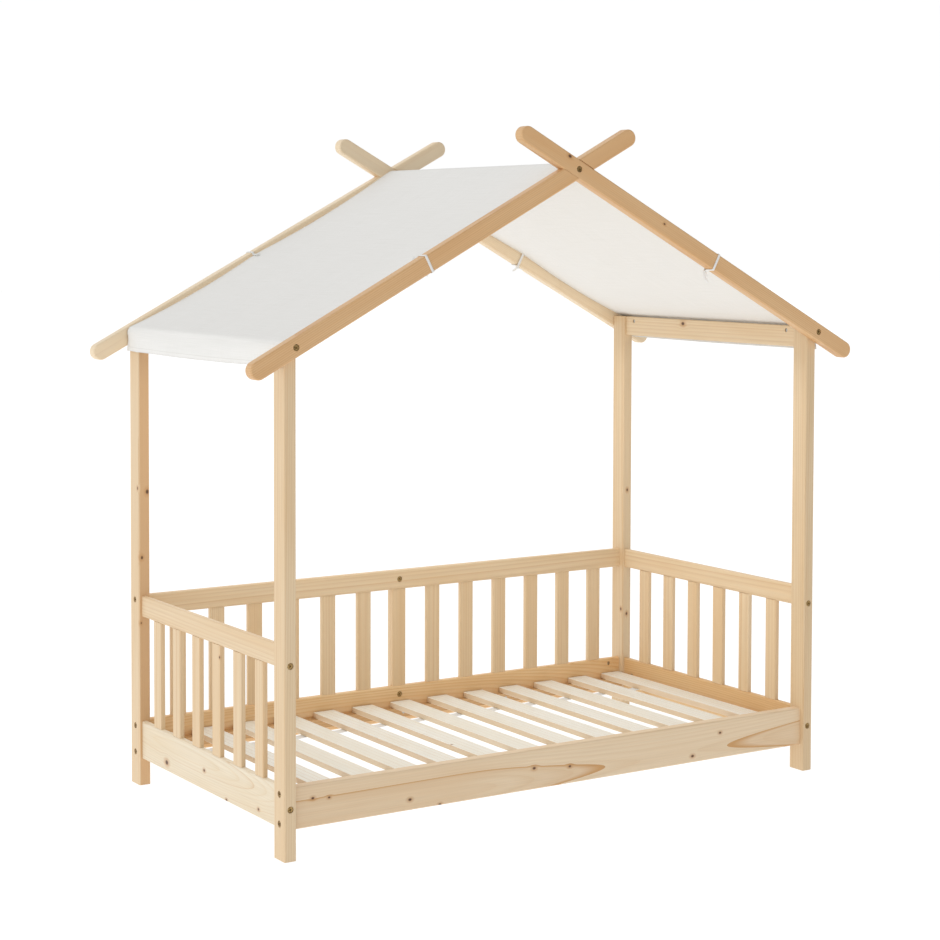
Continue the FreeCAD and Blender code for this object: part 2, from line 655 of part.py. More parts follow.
def make_tie(side, face):
    """A cloth tie: a band round the rafter, with its two ends hanging from the knot."""
    i, j = SIDES[side], FACES[face]
    z = f"({RIDGE_Z} - tie_run*tan(roof_pitch))"
    centre = (f"{i}*tie_run", f"{j}*{RAFTER_Y}", z)
    inner = ("(tie_wide + rafter_deep)", "rafter_thick + 2*seat_gap", "rafter_deep + 2*seat_gap")
    outer = ("tie_wide", f"{inner[1]} + 2*tie_thick", f"{inner[2]} + 2*tie_thick")
    turn = rafter_angle(side)
    loop = timber("x", centre, outer, angle=turn)
    # the tails hang from the middle of the loop's lower run; they reach up into the rafter's
    # room, which is then cut out of both
    tail_x = f"{i}*(tie_run - rafter_deep/2*sin(roof_pitch))"
    tail_long = "(rafter_deep/2*cos(roof_pitch) + tie_tail)"
    tail_middle = (tail_x, f"{j}*(bed_width/2 + tie_wide/2)", f"({z} - {tail_long}/2)")
    tails = block(tail_middle, ("tie_wide/2", "tie_wide/2", tail_long))
    tie = less(joined([loop, tails]), [timber("x", centre, inner, angle=turn)])
    node(f"{face}_{side}_tie", tie)


# ---------------------------------------------------------------- assembly
for side_name in SIDES:
    for face_name in FACES:
        make_post(side_name, face_name)
        make_rafter(side_name, face_name)
        make_tie(side_name, face_name)
    make_end_panel(side_name)
    make_roof_rail(side_name)
make_back_panel()
make_middle_support()
make_front_board()
for face_name in FACES:
    make_ledger(face_name)
make_slatted_base()
make_ridge_pole()
make_ridge_bolts()
make_canopy()
for group_name, group_items in bolts.items():
    node(group_name, gathered(group_items))
node("barrel_nuts", gathered(barrel_nuts))
node("ledger_screws", gathered(ledger_screws))
node("roof_dowels", gathered(dowels))
document.recompute()

# ---------------------------------------------------------------- checks and export
for item in document.Objects:
    if "Invalid" in item.State or "Error" in item.State:
        raise RuntimeError(f"{item.Label} did not build: {item.State}")
for label, item in nodes.items():
    if item.Shape.isNull() or not item.Shape.isValid() or not item.Shape.Solids:
        raise RuntimeError(f"{label} has no valid shape")

os.makedirs("parts", exist_ok=True)
for label, item in nodes.items():
    item.Shape.exportStep(f"parts/{label}.step")
print(f"{len(nodes)} nodes, {sum(len(item.Shape.Solids) for item in nodes.values())} solids")
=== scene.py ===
# %% [markdown]
# # A toddler bed with a roof frame
#
# The real bed is planed pine under a clear satin lacquer, bolted together with plated furniture
# bolts, with a white cotton canopy over two gables. The timber and the bolts are already
# modelled in the frame, so this lesson gives them their finish, and makes the soft pieces:
# the canopy, its ties, and the tapes under the base slats.

# %% Load the bed's frame
import math

import bmesh
import bpy
from mathutils import Matrix, Vector, noise


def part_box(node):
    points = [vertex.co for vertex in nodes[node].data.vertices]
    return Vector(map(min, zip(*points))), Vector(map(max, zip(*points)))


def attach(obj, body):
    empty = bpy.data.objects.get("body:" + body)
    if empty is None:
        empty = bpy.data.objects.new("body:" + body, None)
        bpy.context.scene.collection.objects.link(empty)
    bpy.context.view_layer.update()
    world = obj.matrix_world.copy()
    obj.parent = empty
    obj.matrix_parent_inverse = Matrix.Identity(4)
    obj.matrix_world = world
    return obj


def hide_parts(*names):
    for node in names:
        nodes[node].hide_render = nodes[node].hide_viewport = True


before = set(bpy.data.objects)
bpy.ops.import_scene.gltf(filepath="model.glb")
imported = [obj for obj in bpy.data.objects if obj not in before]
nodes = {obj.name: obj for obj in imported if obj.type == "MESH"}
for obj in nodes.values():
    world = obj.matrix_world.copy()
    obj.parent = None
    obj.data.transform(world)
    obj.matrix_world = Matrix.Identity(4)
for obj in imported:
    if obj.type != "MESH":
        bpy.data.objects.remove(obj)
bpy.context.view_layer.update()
MM = 0.001


# %% [markdown]
# ## Places
#
# A maker measures from the wood that is already there. Each place below comes from the box of
# a board, a post or a rail, so a soft piece fits the frame it hangs on.

# %% Measure the frame
ridge_low, ridge_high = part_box("ridge_pole")
rail_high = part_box("right_roof_rail")[1]
post_low, post_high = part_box("front_right_post")
rafter_low, rafter_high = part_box("front_right_rafter")
cloth_low, cloth_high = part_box("canopy")

BOLT_BELOW_TOP = 12 * MM
RIDGE_Z = (ridge_low.z + ridge_high.z) / 2
BOLT_Z = post_high.z - BOLT_BELOW_TOP
POST_X = (post_low.x + post_high.x) / 2
PITCH = math.atan2(RIDGE_Z - BOLT_Z, POST_X)
RAFTER_DEEP = 40 * MM  # it lies aslant, so its box doesn't give this
RAFTER_THICK = rafter_high.y - rafter_low.y
print("roof pitch in degrees", round(math.degrees(PITCH), 2))


# %% [markdown]
# ## Camera
#
# The bed stands a little to the right of the camera's line, seen from just above the height of
# its posts. A long lens from five metres away keeps the uprights nearly parallel. The camera
# looks down by two or three degrees, and a shifted picture does the rest, as with an architect's lens.

# %% Camera
camera_data = bpy.data.cameras.new("camera")
camera_data.sensor_width = 36
camera_data.lens = 81.21
camera_data.shift_x = -0.0043
camera_data.shift_y = -0.1528
camera = bpy.data.objects.new("camera", camera_data)
bpy.context.scene.collection.objects.link(camera)
EYE = Vector((-2.8141, -4.3504, 1.335))
turn = Matrix.Rotation(math.radians(-32.8218), 4, "Z")
tilt = Matrix.Rotation(math.radians(87.5), 4, "X")
roll = Matrix.Rotation(math.radians(0.16), 4, "Z")
camera.matrix_world = Matrix.Translation(EYE) @ turn @ tilt @ roll
bpy.context.scene.camera = camera
print("camera at", tuple(round(value, 3) for value in EYE), "with a lens of", round(camera_data.lens, 1))


# %% [markdown]
# ## Nodes and colours
#
# Every finish is a small graph of nodes. One helper adds a node, sets it and links it. Colours
# are written as the hex values a paint chart gives, and turned to the linear light that the
# renderer works in.

# %% Helpers for materials
def linear(hex_colour, alpha=1.0):
    """An sRGB hex colour as linear red, green, blue and alpha."""
    parts = [int(hex_colour[start:start + 2], 16) / 255 for start in (1, 3, 5)]
    light = [c / 12.92 if c <= 0.04045 else ((c + 0.055) / 1.055) ** 2.4 for c in parts]
    return (*light, alpha)


def add(tree, kind, inputs=(), stops=(), **settings):
    """Add a node. Inputs map a socket's name or number to a value or to another socket."""
    node = tree.nodes.new(kind)
    for name, value in settings.items():
        setattr(node, name, value)
    for key, value in dict(inputs).items():
        socket = node.inputs[key]
        if isinstance(value, bpy.types.NodeSocket):
            tree.links.new(value, socket)
        else:
            socket.default_value = value
    for index, (position, colour) in enumerate(stops):
        points = node.color_ramp.elements
        point = points[index] if index < 2 else points.new(position)
        point.position = position
        point.color = linear(colour)
    return node


def new_material(name):
    """A material with its node tree and its shader."""
    material = bpy.data.materials.new(name)
    material.use_nodes = True
    tree = material.node_tree
    return material, tree, tree.nodes["Principled BSDF"]


def finish_node(node_name, material):
    """Give every material slot of a frame piece the same finish."""
    for material_slot in nodes[node_name].material_slots:
        material_slot.material = material


# %% [markdown]
# ## Studio
#
# The bed stands in an even, bright room on a light table, the kind that glows white by itself and
# takes no shadow. The rest of the light comes mainly from the left and from behind, so the end
# boards are bright and the front boards a shade warmer. Thin cotton lets daylight through, so a
# soft light hangs under the canopy and brightens the slats and the inside of the back panel.

# %% Floor and light
bpy.ops.mesh.primitive_plane_add(size=80)
floor = bpy.context.object
floor.name = "floor"
floor_paint, tree, shader = new_material("glowing_white_table")
shader.inputs["Base Color"].default_value = linear("#808080")
shader.inputs["Roughness"].default_value = 0.9
shader.inputs["Specular IOR Level"].default_value = 0.1
shader.inputs["Emission Color"].default_value = linear("#FFFFFF")
shader.inputs["Emission Strength"].default_value = 0.92
floor.data.materials.append(floor_paint)

world = bpy.data.worlds.new("studio")
bpy.context.scene.world = world
world.use_nodes = True
tree = world.node_tree
sky = tree.nodes["Background"]
toward = add(tree, "ShaderNodeTexCoord").outputs["Generated"]
KEY_SIDE = Vector((-0.70, 0.75, -0.22)).normalized()
facing = add(tree, "ShaderNodeVectorMath", {0: toward, 1: KEY_SIDE}, operation="DOT_PRODUCT")
level = add(tree, "ShaderNodeMapRange", {0: facing.outputs["Value"], 1: -0.9, 2: -0.03, 3: 0.28, 4: 1.01})
# the backdrop itself is seen as plain white, whatever light comes from that side
seen = add(tree, "ShaderNodeLightPath").outputs["Is Camera Ray"]
strength = add(tree, "ShaderNodeMath", {0: level.outputs[0], 1: seen}, operation="MAXIMUM")
tree.links.new(strength.outputs[0], sky.inputs["Strength"])
sky.inputs["Color"].default_value = linear("#FFFFFF")
bpy.context.scene.view_settings.view_transform = "Standard"

# %% [markdown]
# A wide, weak area light just below the canopy stands for the daylight that the cotton lets
# through. It is hidden from the camera, so only its light is seen.

# %% Light under the canopy
BELOW_CANOPY = (0, 0, 1.03)
bpy.ops.object.light_add(type="AREA", location=BELOW_CANOPY)
glow = bpy.context.object
glow.name = "light_through_the_cloth"
glow.data.shape = "RECTANGLE"
glow.data.size = 1.3
glow.data.size_y = 0.68
glow.data.energy = 2.4
glow.visible_camera = False


# %% [markdown]
# ## Pine
#
# Pine grain is a solid pattern. A trunk adds a pale band and a thin brown band each year, and a
# sawn board shows where its faces cut through those cylinders. Where the trunk's centre bows
# past a face, the lines close into long pointed flames; where a face cuts straight down the
# radius, they run parallel. So the pattern here is rings round a bowed centre line, set beside
# each board, and the faces do the rest. Knots push the rings aside and have a dark heart.
#
# Each kind of pine has four tones: the pale and the cream of early wood, the brown of late wood,
# and a warm one for broad patches.

# %% Pine as a solid pattern of rings
HONEY = ("#E9D2AF", "#E5CBA6", "#DEC29B", "#E0BE90")
FLAMED = ("#EBD4B4", "#E8D0AE", "#E5CAA6", "#E4C59E")
PALE = ("#EDE0C8", "#EADCC3", "#E5D2B2", "#E6D1AE")
# painted light: the right end board is seen from inside, in shade warmed by light bounced off the pine, and
# these warmer tones paint that bounce
AMBER_PAINTED_BOUNCE = ("#E6C493", "#E1BC8A", "#D6AB74", "#DAAA70")
ROOF = ("#E2BD8D", "#DDB484", "#D2A370", "#D6A36B")
# painted light: the back board's inside stands in shade lit by warm bounced light, and these brighter,
# warmer tones paint it
GOLDEN_PAINTED_BOUNCE = ("#F0CE9D", "#EBC694", "#E0B47E", "#E4B47A")
RAW = ("#F8F9F5", "#F6F7F0", "#E8DFCA", "#F0EAD9")
LATE_WOOD = "#C8904B"
STRAW = ("#F3E0C3", "#F0DBB9", "#EAD2AF", "#ECD0A9")
WHEAT = ("#E2CBA8", "#DEC49F", "#D7BB94", "#D9B789")
# painted shade: the ledgers lie in the shadow under the slats, and these darker tones paint it
SHADED = ("#CDA474", "#C59B6A", "#B78B58", "#B98C57")
# two darker tans that paint the shade on the base slats' upright sides
SHADED_SIDE_TONES = ("#DDC4A2", "#D0A768")
# a darker tone that is partly heartwood and partly painted shade
HEARTWOOD_AND_SHADE = "#D1A575"
KNOT_RIM = "#C08A52"
KNOT_HEART = "#5E3D24"
ALONG = {"X": (0, 1, 2), "Y": (1, 0, 2), "Z": (2, 0, 1)}


def stretched(grain, along, across):
    """A scale for each axis: one value along the grain, the other across it."""
    return [along if index == ALONG[grain][0] else across for index in range(3)]


# %% [markdown]
# A knot is the foot of a branch. The rings flow round it, so each place near it is pulled
# towards its middle before the rings are drawn. Its heart is dark, and a warm rim fades into the
# clear wood. A knot is longer along the grain than across it.

# %% Knots push the rings aside
def knotted(tree, place, grain, knots):
    """Places pulled towards each knot, a mask of the knots' dark hearts and one of their rims."""
    heart = halo = None
    for *centre, radius in knots:
        away = add(tree, "ShaderNodeVectorMath", {0: place, 1: centre}, operation="SUBTRACT").outputs[0]
        oval = add(tree, "ShaderNodeVectorMath", {0: away, 1: stretched(grain, 0.7, 1)},
                   operation="MULTIPLY").outputs[0]
        distance = add(tree, "ShaderNodeVectorMath", {0: oval}, operation="LENGTH").outputs["Value"]
        push = add(tree, "ShaderNodeMapRange", {0: distance, 1: 0.0, 2: 5 * radius, 3: -0.75, 4: 0.0},
                   interpolation_type="SMOOTHSTEP").outputs[0]
        shove = add(tree, "ShaderNodeVectorMath", {0: away, "Scale": push}, operation="SCALE").outputs[0]
        place = add(tree, "ShaderNodeVectorMath", {0: place, 1: shove}, operation="ADD").outputs[0]
        core = add(tree, "ShaderNodeMapRange",
                   {0: distance, 1: 0.55 * radius, 2: 1.1 * radius, 3: 1.0, 4: 0.0}).outputs[0]
        rim = add(tree, "ShaderNodeMapRange",
                  {0: distance, 1: radius, 2: 2.6 * radius, 3: 1.0, 4: 0.0}).outputs[0]
        if heart is not None:
            core = add(tree, "ShaderNodeMath", {0: heart, 1: core}, operation="MAXIMUM").outputs[0]
            rim = add(tree, "ShaderNodeMath", {0: halo, 1: rim}, operation="MAXIMUM").outputs[0]
        heart, halo = core, rim
    return place, heart, halo


# %% [markdown]
# Thirteen slats cut from one pattern would all look alike. Each slat's number in its row gives it
# a chance value, which moves it to another part of the trunk and makes it a little more or less tan.

# %% Equal pieces in a row each take their own stretch of the trunk
def own_stretch(tree, place, grain, axis, start, step):
    """Places moved by a chance amount for each piece, and a chance value from 0 to 1 for it."""
    apart = add(tree, "ShaderNodeSeparateXYZ", {0: place}).outputs
    count = add(tree, "ShaderNodeMath", {0: apart[axis], 1: start}, operation="SUBTRACT").outputs[0]
    count = add(tree, "ShaderNodeMath", {0: count, 1: step}, operation="DIVIDE").outputs[0]
    count = add(tree, "ShaderNodeMath", {0: count}, operation="FLOOR").outputs[0]
    chance = add(tree, "ShaderNodeTexWhiteNoise", {"W": count}, noise_dimensions="1D").outputs
    jump = add(tree, "ShaderNodeVectorMath", {0: chance["Color"], 1: stretched(grain, 0.9, 0.12)},
               operation="MULTIPLY").outputs[0]
    place = add(tree, "ShaderNodeVectorMath", {0: place, 1: jump}, operation="ADD").outputs[0]
    return place, chance["Value"]


# %% [markdown]
# The rings are waves round a centre line that may bow and lean. Late wood is a thin dark end to
# each year, so each wave is a saw: it rises slowly and stops sharply.

# %% Rings round a bowed centre line
def ring_waves(tree, place, grain, trunk_line, ring, old_ring, wander):
    """Two waves round the trunk's centre line: one for each year, one for a few strong years."""
    pith, bow, middle, lean, reach = trunk_line
    apart = add(tree, "ShaderNodeSeparateXYZ", {0: place}).outputs
    along, first, second = (apart[index] for index in ALONG[grain])
    beyond = add(tree, "ShaderNodeMath", {0: along, 1: middle}, operation="SUBTRACT").outputs[0]
    square = add(tree, "ShaderNodeMath", {0: beyond, 1: beyond}, operation="MULTIPLY").outputs[0]
    square = add(tree, "ShaderNodeMath", {0: square, 1: reach, 2: reach / 2},
                 operation="SMOOTH_MIN").outputs[0]
    sweep = add(tree, "ShaderNodeMath", {0: square, 1: bow, 2: pith[0]}, operation="MULTIPLY_ADD").outputs[0]
    drift = add(tree, "ShaderNodeMath", {0: beyond, 1: lean, 2: pith[1]},
                operation="MULTIPLY_ADD").outputs[0]
    across = add(tree, "ShaderNodeMath", {0: first, 1: sweep}, operation="SUBTRACT").outputs[0]
    upward = add(tree, "ShaderNodeMath", {0: second, 1: drift}, operation="SUBTRACT").outputs[0]
    slow = add(tree, "ShaderNodeMath", {0: along, 1: 0.06}, operation="MULTIPLY").outputs[0]
    trunk = add(tree, "ShaderNodeCombineXYZ", {0: across, 1: upward, 2: slow}).outputs[0]
    # a wave of rings has its bands 10 / pi apart at scale 1
    years = {"Vector": trunk, "Scale": math.pi / 10 / ring, "Distortion": wander, "Detail": 1.0,
             "Detail Scale": 0.3}
    strong = {"Vector": trunk, "Scale": math.pi / 10 / (old_ring or 5 * ring),
              "Distortion": wander / 5, "Detail": 1.0, "Detail Scale": 1.5}
    return [add(tree, "ShaderNodeTexWave", wave, wave_type="RINGS", rings_direction="Z",
                wave_profile="SAW").outputs["Fac"] for wave in (years, strong)]


# %% [markdown]
# The finish goes on in the order the eye takes it in: the years, broad warm patches, the fine
# fibre, and the knots on top. The lacquer is a satin one, a little smoother over the dense fibres,
# with an index of refraction of about 1.5.

# %% Pine from the trunk to the lacquer
def pine(name, grain, pith=(0.05, 0.02), bow=0.0, middle=0.0, lean=0.0, ring=0.0045, reach=9.0,
         old_ring=None, old_share=0.3, knots=(), pieces=None, tones=HONEY, angle=0.0, wander=2.5,
         shaded_sides=False, heart_and_shade_from=None):
    """Pine with its grain along one axis; pith is the trunk's centre beside the piece."""
    material, tree, shader = new_material(name)
    place = add(tree, "ShaderNodeTexCoord").outputs["Object"]
    if angle:
        turned = {"Vector": place, "Rotation": (0, angle, 0)}
        place = add(tree, "ShaderNodeMapping", turned).outputs[0]
    place, heart, halo = knotted(tree, place, grain, knots)
    chance = None
    if pieces:
        place, chance = own_stretch(tree, place, grain, *pieces)
    rings, strong = ring_waves(tree, place, grain, (pith, bow, middle, lean, reach), ring, old_ring, wander)

    pale, cream, brown, warm = tones
    colour = add(tree, "ShaderNodeValToRGB", {0: rings},
                 stops=((0.0, cream), (1.0, brown), (0.35, pale), (0.72, cream))).outputs[0]
    fine_place = add(tree, "ShaderNodeVectorMath", {0: place, 1: stretched(grain, 6, 420)},
                     operation="MULTIPLY").outputs[0]
    fibre = add(tree, "ShaderNodeTexNoise",
                {"Vector": fine_place, "Scale": 1.0, "Detail": 3.0}).outputs["Fac"]
    broad_place = add(tree, "ShaderNodeVectorMath", {0: place, 1: stretched(grain, 2.5, 22)},
                      operation="MULTIPLY").outputs[0]
    blotch = add(tree, "ShaderNodeTexNoise",
                 {"Vector": broad_place, "Scale": 1.0, "Detail": 2.0}).outputs["Fac"]
    share = add(tree, "ShaderNodeMapRange", {0: blotch, 1: 0.35, 2: 0.75, 3: 0.0, 4: 0.6}).outputs[0]
    colour = add(tree, "ShaderNodeMix", {0: share, 6: colour, 7: linear(warm)}, data_type="RGBA").outputs[2]
    if shaded_sides:
        # painted shade: faces that stand upright take a darker tan, one of two by chance for each piece, so
        # a slat's sides look shaded and its top stays pale
        facing = add(tree, "ShaderNodeNewGeometry").outputs["Normal"]
        upright = add(tree, "ShaderNodeSeparateXYZ", {0: facing}).outputs[2]
        flat = add(tree, "ShaderNodeMath", {0: upright}, operation="ABSOLUTE").outputs[0]
        side = add(tree, "ShaderNodeMapRange", {0: flat, 1: 0.35, 2: 0.8, 3: 0.85, 4: 0.0}).outputs[0]
        cut = {0: chance, 6: linear(SHADED_SIDE_TONES[0]), 7: linear(SHADED_SIDE_TONES[1])}
        side_shade = add(tree, "ShaderNodeMix", cut, data_type="RGBA").outputs[2]
        colour = add(tree, "ShaderNodeMix", {0: side, 6: colour, 7: side_shade}, data_type="RGBA").outputs[2]

    soft_line = add(tree, "ShaderNodeMapRange", {0: strong, 1: 0.78, 2: 0.97, 3: 0.0, 4: 0.2}).outputs[0]
    hard_line = add(tree, "ShaderNodeMapRange", {0: strong, 1: 0.965, 2: 0.993, 3: 0.0, 4: 0.7}).outputs[0]
    line = add(tree, "ShaderNodeMath", {0: soft_line, 1: hard_line}, operation="ADD").outputs[0]
    line = add(tree, "ShaderNodeMath", {0: line, 1: old_share}, operation="MULTIPLY").outputs[0]
    colour = add(tree, "ShaderNodeMix", {0: line, 6: colour, 7: linear(LATE_WOOD)},
                 data_type="RGBA").outputs[2]
    grey = add(tree, "ShaderNodeMapRange", {0: fibre, 1: 0.3, 2: 0.7, 3: 0.95, 4: 1.03}).outputs[0]
    colour = add(tree, "ShaderNodeVectorMath", {0: colour, "Scale": grey}, operation="SCALE").outputs[0]
    if chance is not None:
        tan = add(tree, "ShaderNodeMapRange", {0: chance, 1: 0.3, 2: 1.0, 3: 0.0, 4: 0.55}).outputs[0]
        colour = add(tree, "ShaderNodeMix", {0: tan, 6: colour, 7: linear(warm)},
                     data_type="RGBA").outputs[2]
    if heart_and_shade_from is not None:
        # the piece is darker where x passes the given value, with a sharp change: partly heartwood, partly
        # painted shade on the faces turned from the light
        across = add(tree, "ShaderNodeSeparateXYZ", {0: place}).outputs[0]
        heartwood_and_shade = add(tree, "ShaderNodeMapRange",
                     {0: across, 1: heart_and_shade_from, 2: heart_and_shade_from + 3 * MM, 3: 0.0, 4: 0.8}).outputs[0]
        colour = add(tree, "ShaderNodeMix", {0: heartwood_and_shade, 6: colour, 7: linear(HEARTWOOD_AND_SHADE)},
                     data_type="RGBA").outputs[2]
    if heart is not None:
        soft = add(tree, "ShaderNodeMath", {0: halo, 1: 0.55}, operation="MULTIPLY").outputs[0]
        colour = add(tree, "ShaderNodeMix", {0: soft, 6: colour, 7: linear(KNOT_RIM)},
                     data_type="RGBA").outputs[2]
        colour = add(tree, "ShaderNodeMix", {0: heart, 6: colour, 7: linear(KNOT_HEART)},
                     data_type="RGBA").outputs[2]
    tree.links.new(colour, shader.inputs["Base Color"])
    shine = add(tree, "ShaderNodeMapRange", {0: fibre, 1: 0.3, 2: 0.7, 3: 0.52, 4: 0.42}).outputs[0]
    tree.links.new(shine, shader.inputs["Roughness"])
    relief = add(tree, "ShaderNodeBump",
                 {"Height": fibre, "Strength": 0.12, "Distance": 0.3 * MM}).outputs[0]
    tree.links.new(relief, shader.inputs["Normal"])
    shader.inputs["IOR"].default_value = 1.5
    return material


# %% [markdown]
# ## Which board came from where
#
# Each board was sawn from another part of a trunk. The front board lies flat to the rings and
# shows long flames; the posts and rails were cut closer to the radius and show straight lines.
#
# All the measures are in metres. The pith is where the trunk's centre lies beside the board. It
# leans by lean for each metre along the grain, and bows by bow times the square of the distance
# from middle, which reach limits. A ring is one year's growth, and an old ring is the distance
# between two strong lines.

# %% Finish the boards and rails
# a knot is the place of its middle, and its radius
FRONT_KNOTS = ((-0.423, -0.388, 0.088, 0.0035), (-0.345, -0.388, 0.066, 0.003),
               (-0.091, -0.388, 0.113, 0.0035), (0.009, -0.388, 0.104, 0.003),
               (0.371, -0.388, 0.080, 0.0035), (0.456, -0.388, 0.126, 0.003),
               (-0.666, -0.388, 0.126, 0.003), (-0.626, -0.388, 0.122, 0.0025))
LEFT_END_KNOTS = ((-0.733, 0.210, 0.085, 0.006), (-0.733, 0.007, 0.110, 0.0035),
                  (-0.733, -0.107, 0.068, 0.003), (-0.733, -0.264, 0.083, 0.003))
ROOF_RAIL_KNOTS = ((0.719, 0.099, 1.097, 0.005),)
finish_node("front_board", pine(
    "lacquered_pine_front_board", "X", pith=(-0.3248, 0.0915), bow=-0.068, middle=0.3155, lean=0.005,
    reach=0.27, ring=0.0052, old_ring=0.06, old_share=0.95, tones=FLAMED, knots=FRONT_KNOTS))
finish_node("back_board", pine("lacquered_pine_back_board", "X", pith=(0.41, 0.10), bow=0.05, middle=-0.2,
                               tones=GOLDEN_PAINTED_BOUNCE))
finish_node("back_guard_rail", pine("lacquered_pine_back_rail", "X", pith=(0.45, 0.40), lean=0.01))
finish_node("left_end_board", pine(
    "lacquered_pine_left_board", "Y", pith=(-0.70, 0.13), bow=0.10, middle=0.1, tones=PALE,
    knots=LEFT_END_KNOTS))
finish_node("right_end_board", pine("lacquered_pine_right_board", "Y", pith=(0.76, 0.08), bow=0.06,
                                    tones=AMBER_PAINTED_BOUNCE))
finish_node("left_guard_rail", pine("lacquered_pine_left_rail", "Y", pith=(-0.78, 0.46), lean=0.01))
finish_node("right_guard_rail", pine("lacquered_pine_right_rail", "Y", pith=(0.80, 0.41), lean=-0.01))
finish_node("left_roof_rail", pine("lacquered_pine_left_roof_rail", "Y", pith=(-0.78, 1.12)))
finish_node("right_roof_rail", pine("lacquered_pine_right_roof_rail", "Y", pith=(0.79, 1.04),
                                    knots=ROOF_RAIL_KNOTS))
finish_node("ridge_pole", pine("lacquered_pine_ridge", "Y", pith=(0.05, 1.52)))
finish_node("middle_support", pine("lacquered_pine_support", "Z", pith=(0.06, 0.45)))

# %% Finish the ledgers, posts and rafters
POST_KNOTS = {
    ("back", "right"): ((0.7256, 0.351, 0.625, 0.0034), (0.712, 0.358, 0.292, 0.0034),
                        (0.7256, 0.351, 0.279, 0.0036)),
    ("back", "left"): ((-0.740, 0.357, 0.721, 0.003), (-0.718, 0.351, 0.712, 0.0045),
                       (-0.7323, 0.351, 0.5535, 0.0035), (-0.7347, 0.351, 0.395, 0.002)),
}
# the back left post is darker past this x, on all but its left face: partly heartwood, partly painted shade
# on the faces turned from the light
POST_HEART_AND_SHADE_FROM = {("back", "left"): -0.739}
RAFTER_SPOTS = {("front", "right"): (((-0.027, -0.428, 1.511), 0.004), ((0.244, -0.428, 1.359), 0.0025))}
# a rafter's grain lies at the roof's pitch, so its knots are turned with it
along_rafter = Matrix.Rotation(-PITCH, 3, "Y")
for face, far in (("front", -1), ("back", 1)):
    finish_node(f"{face}_ledger", pine(f"lacquered_pine_{face}_ledger", "X", pith=(far * 0.30, 0.13),
                                       tones=SHADED))
    for side, hand in (("left", -1), ("right", 1)):
        corner = (face, side)
        finish_node(f"{face}_{side}_post", pine(
            f"lacquered_pine_{face}_{side}_post", "Z", pith=(hand * 0.80, far * 0.33),
            lean=0.012 * hand, wander=2.0, knots=POST_KNOTS.get(corner, ()),
            tones=HONEY if side == "left" else WHEAT, heart_and_shade_from=POST_HEART_AND_SHADE_FROM.get(corner)))
        knots = [(*(along_rafter @ Vector(spot)), radius) for spot, radius in RAFTER_SPOTS.get(corner, ())]
        finish_node(f"{face}_{side}_rafter", pine(
            f"lacquered_pine_{face}_{side}_rafter", "X", pith=(far * 0.36, 0.06 * hand), knots=knots,
            angle=-hand * PITCH, lean=0.01, tones=ROOF if face == "front" else STRAW))

# %% Finish the slats
GUARD_ROWS = {  # the axis of each row, where it starts, and the step from slat to slat
    "back_guard_slats": (0, -0.7123, 0.10465),
    "left_guard_slats": (1, -0.353, 0.1056),
    "right_guard_slats": (1, -0.353, 0.1056),
}
GUARD_KNOTS = {"left_guard_slats": ((-0.732, -0.071, 0.383, 0.0022),)}
BASE_KNOTS = ((-0.139, -0.110, 0.117, 0.0022), (0.262, -0.213, 0.117, 0.0022),
              (0.372, 0.242, 0.117, 0.003))
for name, row in GUARD_ROWS.items():
    finish_node(name, pine(f"lacquered_pine_{name}", "Z", pith=(0.05, 0.04), pieces=row,
                           knots=GUARD_KNOTS.get(name, ())))

base_names = sorted(name for name in nodes if name.startswith("base_slat_"))
first_low, first_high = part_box(base_names[0])
slat_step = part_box(base_names[1])[0].x - first_low.x
slat_gap = slat_step - (first_high.x - first_low.x)
# the base slats' sides get painted shade, and their tops keep the pale tone
raw_pine = pine("planed_pine_base_slats", "Y", pith=(0.05, 0.16), ring=0.005, tones=RAW, shaded_sides=True,
                old_ring=0.014, old_share=0.8, knots=BASE_KNOTS,
                pieces=(0, first_low.x - slat_gap / 2, slat_step))
for name in base_names:
    finish_node(name, raw_pine)
print("timber pieces finished:", len([m for m in bpy.data.materials if "pine" in m.name]))


# %% [markdown]
# ## Bolts, nuts and screws
#
# Furniture bolts are zinc plated with a yellow passivate, so they shine like dull brass, and
# sunk in their counterbores they mostly mirror the dark wood around them. Their colour runs from
# a dark brown, painted shade of the counterbores, to light gold specks, painted glints. Barrel
# nuts and screws are plain bright zinc. Plating has a fine, uneven bloom, which shows as a faint
# change in roughness.

# %% Metals
def plated_steel(name, colour, roughness):
    """Zinc-plated steel with an uneven bloom, whose noise also mixes the two colours: on the bolts, painted
    shade and painted glints.
    """
    material, tree, shader = new_material(name)
    shader.inputs["Metallic"].default_value = 1.0
    place = add(tree, "ShaderNodeTexCoord").outputs["Object"]
    bloom_and_glints = add(tree, "ShaderNodeTexNoise",
                {"Vector": place, "Scale": 0.4 / MM, "Detail": 2.0}).outputs["Fac"]
    tint = add(tree, "ShaderNodeValToRGB", {0: bloom_and_glints}, stops=((0.3, colour[0]), (0.7, colour[1])))
    tree.links.new(tint.outputs[0], shader.inputs["Base Color"])
    polish = add(tree, "ShaderNodeMapRange",
                 {0: bloom_and_glints, 1: 0.3, 2: 0.7, 3: roughness - 0.07, 4: roughness + 0.07})
    tree.links.new(polish.outputs[0], shader.inputs["Roughness"])
    return material


